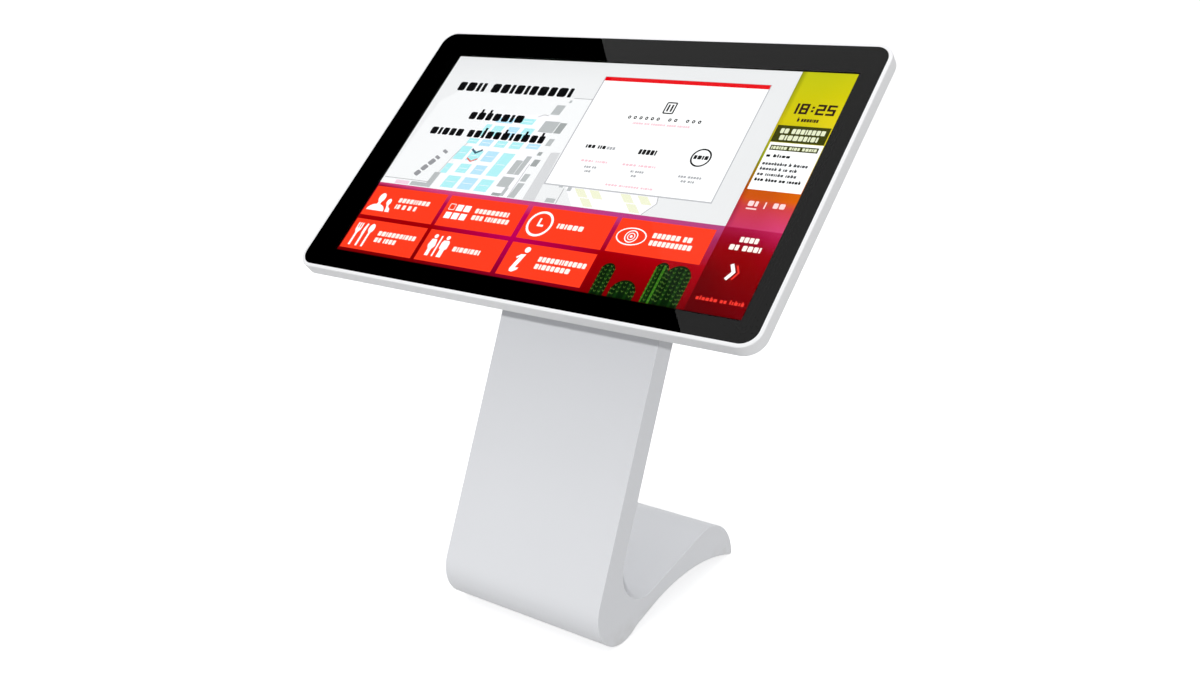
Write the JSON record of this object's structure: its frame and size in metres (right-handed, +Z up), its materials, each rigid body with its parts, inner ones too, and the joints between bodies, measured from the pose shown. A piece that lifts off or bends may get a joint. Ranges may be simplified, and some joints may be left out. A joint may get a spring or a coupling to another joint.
{
  "type": "touchscreen kiosk",
  "caption": "Free-standing touchscreen kiosk: a tilted landscape display head on a leaning slab column that turns into an arched foot, with a rear service door.",
  "frame": {"origin": "on the floor, under the middle of the bounding box", "axes": "+Z up, +X to the right of a person using the screen, +Y from the user towards the rear"},
  "size_m": [1.068, 0.5293, 1.0841],
  "materials": {
    "shell_paint": "satin light grey-white powder coat",
    "frame_paint": "satin white powder coat",
    "zinc_steel": "zinc plated",
    "black_steel": "black oxide",
    "hinge_steel": "brushed",
    "chrome_trim": "polished",
    "button_steel": "turned and brushed",
    "rubber": "matt",
    "black_plastic": "fine moulded grain",
    "rocker_plastic": "gloss",
    "brass": "tinned",
    "cover_glass": "polished",
    "touch_film": "clear film",
    "black_print": "opaque ink behind glass",
    "black_foam": "closed-cell foam",
    "screen": "lit display",
    "clear_acrylic": "clear",
    "strip_aluminium": "extruded",
    "green_board": "solder mask",
    "chip_plastic": "moulded",
    "cable_black": "PVC sheath",
    "ribbon_white": "flat cable"
  },
  "bodies": {
    "kiosk": {"arch_skin": "shell_paint", "back_skin_lower": "shell_paint", "back_skin_upper": "shell_paint", "backlight_pan": "zinc_steel", "ballast_weights": "black_steel", "board_components": "chip_plastic", "border_mask": "black_print", "button_housing": "black_plastic", "chassis_plate": "zinc_steel", "cover_glass": "cover_glass", "cover_screws": "black_steel", "display_boards": "green_board", "display_ribbon": "ribbon_white", "door_jambs": "shell_paint", "fan_frames": "black_plastic", "foot_skin": "shell_paint", "front_frame": "frame_paint", "front_skin": "shell_paint", "glass_tape": "black_foam", "hinge_leaves_jamb": "hinge_steel", "hinge_pins": "hinge_steel", "inlet_pins": "brass", "inner_ribs": "zinc_steel", "jamb_rivets": "hinge_steel", "lcd_cell": "screen", "led_strips": "strip_aluminium", "light_guide": "clear_acrylic", "mainboard": "green_board", "mains_inlet": "black_plastic", "mains_lead": "cable_black", "neck_bolts": "black_steel", "neck_bracket": "zinc_steel", "neck_plate": "shell_paint", "panel_bezel": "zinc_steel", "panel_rails": "zinc_steel", "power_bezel": "black_plastic", "power_supply": "zinc_steel", "processor_heatsink": "strip_aluminium", "rear_cover": "shell_paint", "rear_hood": "shell_paint", "rubber_pads": "rubber", "side_plate_left": "shell_paint", "side_plate_right": "shell_paint", "signal_leads": "cable_black", "speakers": "black_plastic", "standoffs": "zinc_steel", "switch_housing": "black_plastic", "touch_controller": "green_board", "touch_film": "touch_film"},
    "door": {"door_panel": "shell_paint", "hinge_leaves_door": "hinge_steel", "door_rivets": "hinge_steel", "lock_housing": "chrome_trim", "lock_nut": "hinge_steel"},
    "lock": {"lock_core": "chrome_trim", "lock_cam": "hinge_steel"},
    "fan_left": {"fan_rotor_left": "black_plastic"},
    "fan_right": {"fan_rotor_right": "black_plastic"},
    "rocker": {"mains_rocker": "rocker_plastic"},
    "button": {"power_button": "button_steel"}
  },
  "joints": [
    {"name": "door_swing", "type": "hinge", "parent": "kiosk", "child": "door", "pos_m": [-0.10075, -0.04862, 0.40391], "axis": [0, 0.4509, 0.8926], "range_deg": [0, 110]},
    {"name": "lock_turn", "type": "hinge", "parent": "door", "child": "lock", "pos_m": [0.082, -0.05255, 0.4059], "axis": [0, 0.8926, -0.4509], "range_deg": [0, 90]},
    {"name": "fan_left_spin", "type": "hinge", "parent": "kiosk", "child": "fan_left", "pos_m": [-0.268, 0.0635, 0.82978], "axis": [0, -0.6184, 0.7859], "continuous": true},
    {"name": "fan_right_spin", "type": "hinge", "parent": "kiosk", "child": "fan_right", "pos_m": [0.268, 0.0635, 0.82978], "axis": [0, -0.6184, 0.7859], "continuous": true},
    {"name": "mains_switch", "type": "hinge", "parent": "kiosk", "child": "rocker", "pos_m": [0.018, 0.189, 0.031], "axis": [1, 0, 0], "range_deg": [0, 20]},
    {"name": "power_press", "type": "slide", "parent": "kiosk", "child": "button", "axis": [0, -0.6184, 0.7859], "range_m": [0, 0.002], "stiffness_N_per_m": 400}
  ]
}
